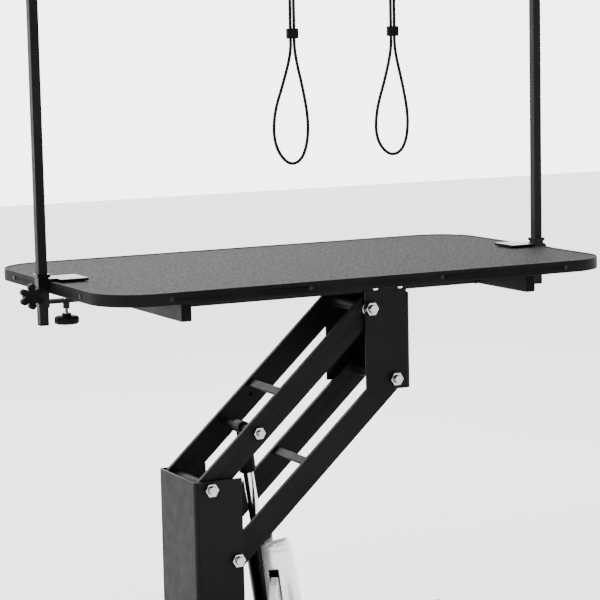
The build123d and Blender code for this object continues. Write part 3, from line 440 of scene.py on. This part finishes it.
def join_rings(bm, rings, closed=False):
    """Faces between neighbouring rings of vertices, with flat ends unless closed."""
    pairs = list(zip(rings, rings[1:]))
    if closed:
        pairs.append((rings[-1], rings[0]))
    count = len(rings[0])
    for low, high in pairs:
        for k in range(count):
            bm.faces.new((low[k], low[(k + 1) % count], high[(k + 1) % count], high[k]))
    if not closed:
        bm.faces.new(rings[0])
        bm.faces.new(rings[-1])


def sweep(bm, points, radius, across, ripple=0.0, closed=False):
    """A round bead along points; across is square to the whole path."""
    across = Vector(across).normalized()
    rings = []
    last = len(points) - 1
    for index, point in enumerate(points):
        before = points[index - 1] if index or closed else point
        after = points[(index + 1) % len(points)] if index < last or closed else point
        other = (after - before).normalized().cross(across)
        swell = radius * (1.0 - ripple * (0.5 + 0.5 * math.sin(RIPPLE_STEP * index)))
        if not closed and index in (0, last):
            swell *= BEAD_END
        ring = []
        for k in range(BEAD_SIDES):
            turn = TAU * k / BEAD_SIDES
            out = math.cos(turn) * across + math.sin(turn) * other
            ring.append(bm.verts.new(point + swell * out))
        rings.append(ring)
    join_rings(bm, rings, closed)


def line(start, end, step=0.0013):
    """Points along a straight line."""
    start = Vector(start)
    end = Vector(end)
    count = max(2, int((end - start).length / step))
    return [start.lerp(end, index / count) for index in range(count + 1)]


def circle_xz(centre, radius, count):
    """Points round a circle that stands square to Y."""
    x, y, z = centre
    points = []
    for index in range(count):
        turn = TAU * index / count
        points.append(Vector((x + radius * math.cos(turn), y, z + radius * math.sin(turn))))
    return points


def thread(bm, start, axis, radius, pitch, length, depth):
    """One screw thread wound on a bolt, fading in and out at its ends."""
    steps = int((length / pitch - 1.0) * THREAD_SIDES)
    turn = Vector(axis).to_track_quat("Z", "Y").to_matrix()
    start = Vector(start)
    rows = []
    for index in range(steps + 1):
        angle = TAU * index / THREAD_SIDES
        rise = pitch * index / THREAD_SIDES
        fade = min(1.0, 2 * index / THREAD_SIDES, 2 * (steps - index) / THREAD_SIDES)
        crest = [(fade, along) for along in THREAD_CREST]
        profile = [(THREAD_ROOT, 0.0), *crest, (THREAD_ROOT, 1.0)]
        row = []
        for out, along in profile:
            r = radius + depth * out
            place = Vector((r * math.cos(angle), r * math.sin(angle), rise + pitch * along))
            row.append(bm.verts.new(start + turn @ place))
        rows.append(row)
    for low, high in zip(rows, rows[1:]):
        for k in range(len(low) - 1):
            bm.faces.new((low[k], low[k + 1], high[k + 1], high[k]))


def plug(bm, centre, outward, levels):
    """A moulded plug for a tube end: rounded rectangles at given heights, lofted together."""
    x, y, z = centre
    rings = []
    for half_x, half_z, corner, height in levels:
        ring = []
        for turn_x, turn_z, start in ((1, 1, 0.0), (-1, 1, 0.25), (-1, -1, 0.5), (1, -1, 0.75)):
            for step in range(CORNER_STEPS + 1):
                angle = TAU * (start + step / (4 * CORNER_STEPS))
                px = turn_x * (half_x - corner) + corner * math.cos(angle)
                pz = turn_z * (half_z - corner) + corner * math.sin(angle)
                ring.append(bm.verts.new((x + px, y + outward * height, z + pz)))
        rings.append(ring)
    join_rings(bm, rings)


# ---------------------------------------------------------------- lift geometry
UPPER_PIVOT = Vector((-0.250, 0.0, 0.464))
LOWER_PIVOT = Vector((-0.196, 0.0, 0.318))
LIFT = math.radians(42.3)
ALONG = Vector((math.cos(LIFT), 0.0, math.sin(LIFT)))
ABOVE = Vector((-math.sin(LIFT), 0.0, math.cos(LIFT)))
ARM = 0.486
RAM_AT = 0.148


# ---------------------------------------------------------------- threads
NUT_FACE = {"channel": -0.096, "arm": -0.086}
NUT_STANDOFF = 0.001
PIVOT_THREAD = {"radius": 0.008, "pitch": 0.0016, "length": 0.0096, "depth": 0.00055}
RAM_THREAD = {"radius": 0.006, "pitch": 0.0014, "length": 0.0094, "depth": 0.00045}
FOOT_THREAD = {"radius": 0.005, "pitch": 0.0015, "length": 0.0106, "depth": 0.0005}
CLAMP_THREAD = {"radius": 0.003, "pitch": 0.001, "length": 0.0085, "depth": 0.00035}
FOOT_X = 0.420
FOOT_Y = 0.225
FOOT_STEM_FROM = 0.0122
CLAMP_X = 0.5045
CLAMP_SHANK_FROM = 0.822


def add_thread(name, start, axis, form, body, slot):
    """A thread in dull steel, of one of the forms above."""
    add_piece(name, partial(thread, start=start, axis=axis, **form), body, slot, THREAD_STEEL)


def nut_end(pivot, nut):
    """Where the thread of a pivot bolt comes out of its nut."""
    return pivot + Vector((0.0, NUT_FACE[nut] + NUT_STANDOFF, 0.0))


def bolt_threads():
    """Threads on the ends of the pivot bolts, in front of their nuts."""
    for label, pivot in (("upper", UPPER_PIVOT), ("lower", LOWER_PIVOT)):
        far = pivot + ARM * ALONG
        for where, body, place in (("column", "base", pivot), ("bracket", "table", far)):
            name = f"{where}_{label}_bolt_thread"
            add_thread(name, nut_end(place, "channel"), FRONT, PIVOT_THREAD, body, "chrome")
    start = nut_end(UPPER_PIVOT + RAM_AT * ALONG, "arm")
    add_thread("ram_bolt_thread", start, FRONT, RAM_THREAD, "upper_arm", "chrome")


def foot_threads():
    """Threads on the stems of the levelling feet."""
    for end, y in (("front", -FOOT_Y), ("rear", FOOT_Y)):
        for label, x in (("left", -FOOT_X), ("right", FOOT_X)):
            name = f"foot_thread_{end}_{label}"
            add_thread(name, (x, y, FOOT_STEM_FROM), UP, FOOT_THREAD, f"foot_{end}_{label}", "zinc")


def clamp_threads():
    """Threads on the clamp screws, between the hand wheel and the jaw."""
    for label, side in (("left", -1), ("right", 1)):
        start = (side * CLAMP_X, NOOSE_Y, CLAMP_SHANK_FROM)
        add_thread(f"clamp_thread_{label}", start, UP, CLAMP_THREAD, f"clamp_screw_{label}", "zinc")


# ---------------------------------------------------------------- ribs and welds
RIB_COUNT = 6
RIB_FROM = -0.190
RIB_PITCH = 0.0088
RIB_X = (-0.034, 0.011)
RIB_Z = 0.2154
RIB_STEP = 0.003
RIB_RADIUS = 0.0018
WELD_RIPPLE = 0.35
TOP_WELD = 0.0019
MEMBER_FACE = 0.3598
RAIL_FACE = 0.084
RAIL_INNER = 0.762
RAIL_UNDER = 0.824
RAIL_SIDE_Z = (0.826, 0.862)
BASE_WELD = 0.0024
BASE_RAIL_FACE = 0.1999
BASE_TOP_X = (0.327, 0.373)
BASE_SIDE_X = (0.325, 0.375)
BASE_SIDE_Z = (0.032, 0.068)
BASE_TOP_Z = 0.070
TUBE_WELD = {"out": 0.0678, "radius": 0.0122, "points": 56, "bead": 0.0014}
RAM_TUBE_WELD = {"out": 0.0662, "radius": 0.0077, "points": 42, "bead": 0.0012}
BAR_WELD = 0.0013
BAR_EDGES = (0.0130, 0.0190)
BAR_START = 0.008
BAR_LENGTH = 0.016
UPPER_BAR_AT = 0.2395
LOWER_BAR_AT = 0.2400


def pedal_ribs(bm):
    """Rounded grip ribs across the pedal's rubber pad."""
    for step in range(RIB_COUNT):
        y = RIB_FROM + RIB_PITCH * step
        sweep(bm, line((RIB_X[0], y, RIB_Z), (RIB_X[1], y, RIB_Z), RIB_STEP), RIB_RADIUS, DEPTH)


def weld(bm, start, end, radius, across):
    """A rippled weld bead along a straight joint."""
    sweep(bm, line(start, end), radius, across, WELD_RIPPLE)


def frame_welds(bm):
    """Beads where the long rails under the board meet the cross members."""
    low, high = RAIL_SIDE_Z
    for x in (-MEMBER_FACE, MEMBER_FACE):
        for y in (-RAIL_FACE, RAIL_FACE):
            weld(bm, (x, y, low), (x, y, high), TOP_WELD, DEPTH)
            weld(bm, (x, RAIL_INNER * y, RAIL_UNDER), (x, y, RAIL_UNDER), TOP_WELD, UP)


def base_welds(bm):
    """Beads where the base cross members meet its rails."""
    near, far = BASE_TOP_X
    low, high = BASE_SIDE_Z
    for side in (-1, 1):
        for y in (-BASE_RAIL_FACE, BASE_RAIL_FACE):
            weld(bm, (side * near, y, BASE_TOP_Z), (side * far, y, BASE_TOP_Z), BASE_WELD, UP)
            for reach in BASE_SIDE_X:
                x = side * reach
                weld(bm, (x, y, low), (x, y, high), BASE_WELD, DEPTH)


def tube_weld(bm, centre, side, form):
    """A bead round the end of a tube that stands across an arm's rail."""
    centre = centre + Vector((0.0, side * form["out"], 0.0))
    points = circle_xz(centre, form["radius"], form["points"])
    sweep(bm, points, form["bead"], DEPTH, WELD_RIPPLE, closed=True)


def arm_welds(bm, pivot, bar_at, ram_tube):
    """Beads round an arm's tubes and along its cross bar."""
    for side in (-1, 1):
        for reach in (0.0, ARM):
            tube_weld(bm, pivot + reach * ALONG, side, TUBE_WELD)
        if ram_tube:
            tube_weld(bm, pivot + RAM_AT * ALONG, side, RAM_TUBE_WELD)
        lift = Vector((0.0, side * TUBE_WELD["out"], 0.0))
        for height in BAR_EDGES:
            start = pivot + (bar_at - BAR_START) * ALONG + height * ABOVE + lift
            weld(bm, start, start + BAR_LENGTH * ALONG, BAR_WELD, DEPTH)


# ---------------------------------------------------------------- tube plugs
# Half width, half height, corner radius and height over the tube's end.
PLUG_LEVELS = (
    (0.0074, 0.0174, 0.0012, -0.010), (0.0077, 0.0177, 0.0012, -0.001),
    (0.0098, 0.0198, 0.0018, 0.0003), (0.0098, 0.0198, 0.0018, 0.0012),
    (0.0092, 0.0192, 0.0020, 0.0019), (0.0078, 0.0178, 0.0020, 0.0022),
)
MEMBER_X = 0.370
MEMBER_END = 0.270
MEMBER_Z = 0.844


def member_plugs():
    """Domed plugs in the open ends of the cross members under the board."""
    for label, x in (("left", -MEMBER_X), ("right", MEMBER_X)):
        for end, outward in (("front", -1), ("rear", 1)):
            centre = (x, outward * MEMBER_END, MEMBER_Z)
            shape = partial(plug, centre=centre, outward=outward, levels=PLUG_LEVELS)
            add_piece(f"member_plug_{end}_{label}", shape, "table", "black_plastic")


def make_fine_pieces():
    """Threads, ribs, welds and plugs that the CAD leaves out."""
    upper = partial(arm_welds, pivot=UPPER_PIVOT, bar_at=UPPER_BAR_AT, ram_tube=True)
    lower = partial(arm_welds, pivot=LOWER_PIVOT, bar_at=LOWER_BAR_AT, ram_tube=False)
    bolt_threads()
    foot_threads()
    clamp_threads()
    add_piece("pedal_pad_ribs", pedal_ribs, "pedal", "black_rubber")
    add_piece("top_frame_welds", frame_welds, "table", "frame_black")
    add_piece("base_frame_welds", base_welds, "base", "frame_black")
    add_piece("upper_arm_welds", upper, "upper_arm", "frame_black")
    add_piece("lower_arm_welds", lower, "lower_arm", "frame_black")
    member_plugs()


# ---------------------------------------------------------------- stage
FLOOR_REACH = 12.0
# Place, aim, size and power of each soft box.
LIGHTS = {
    "key": ((-2.6, -2.6, 3.4), (0.0, 0.0, 0.8), 1.4, 70.0),
    "fill": ((2.8, -2.2, 2.2), (0.0, 0.0, 0.7), 2.0, 30.0),
    "back": ((0.5, 3.2, 3.0), (0.0, 0.0, 0.9), 2.4, 90.0),
}
# Brightness of the world from in front of the table (0) to behind it (1).
WORLD_SHADES = ((0.0, 0.10), (0.22, 0.18), (0.45, 0.45), (0.62, 1.0))
WORLD_STRENGTH = 5.0


def make_floor():
    """Plain pale floor."""
    corners = [(-1, -1), (1, -1), (1, 1), (-1, 1)]
    mesh = bpy.data.meshes.new("floor")
    places = [(FLOOR_REACH * x, FLOOR_REACH * y, 0) for x, y in corners]
    mesh.from_pydata(places, [], [(0, 1, 2, 3)])
    floor = bpy.data.objects.new("floor", mesh)
    bpy.context.scene.collection.objects.link(floor)
    n = Nodes("floor_pale")
    clouds = n.noise(scale=0.6, detail=2.0)
    n.colour(n.ramp(clouds, [(0.3, (0.86, 0.86, 0.86)), (0.7, (0.90, 0.90, 0.90))]))
    n.shader.inputs["Roughness"].default_value = 0.9
    floor.data.materials.append(n.material)


def studio_world():
    """White behind the table and duller in front of it, so bright metal keeps its shading."""
    world = bpy.data.worlds.new("studio")
    world.use_nodes = True
    tree = world.node_tree
    place = tree.nodes.new("ShaderNodeTexCoord")
    split = tree.nodes.new("ShaderNodeSeparateXYZ")
    spread = tree.nodes.new("ShaderNodeMapRange")
    ramp = tree.nodes.new("ShaderNodeValToRGB")
    background = tree.nodes["Background"]
    spread.inputs["From Min"].default_value = -1.0
    tree.links.new(place.outputs["Generated"], split.inputs["Vector"])
    tree.links.new(split.outputs["Y"], spread.inputs["Value"])
    tree.links.new(spread.outputs["Result"], ramp.inputs["Fac"])
    tree.links.new(ramp.outputs["Color"], background.inputs["Color"])
    fill_ramp(ramp, [(position, (shade,) * 3) for position, shade in WORLD_SHADES])
    background.inputs["Strength"].default_value = WORLD_STRENGTH
    return world


def area_light(name, place, aim, size, power):
    """A square soft box aimed at a point."""
    light = bpy.data.lights.new(name, "AREA")
    light.size = size
    light.energy = power
    lamp = bpy.data.objects.new(name, light)
    bpy.context.scene.collection.objects.link(lamp)
    lamp.location = place
    lamp.rotation_mode = "QUATERNION"
    lamp.rotation_quaternion = (Vector(aim) - Vector(place)).to_track_quat("-Z", "Y")


def make_stage():
    """Floor, world and soft studio lights."""
    make_floor()
    bpy.context.scene.world = studio_world()
    for name, setup in LIGHTS.items():
        area_light(name, *setup)


for side in ("left", "right"):
    make_noose(side)
dress_cad_nodes()
make_fine_pieces()
make_stage()
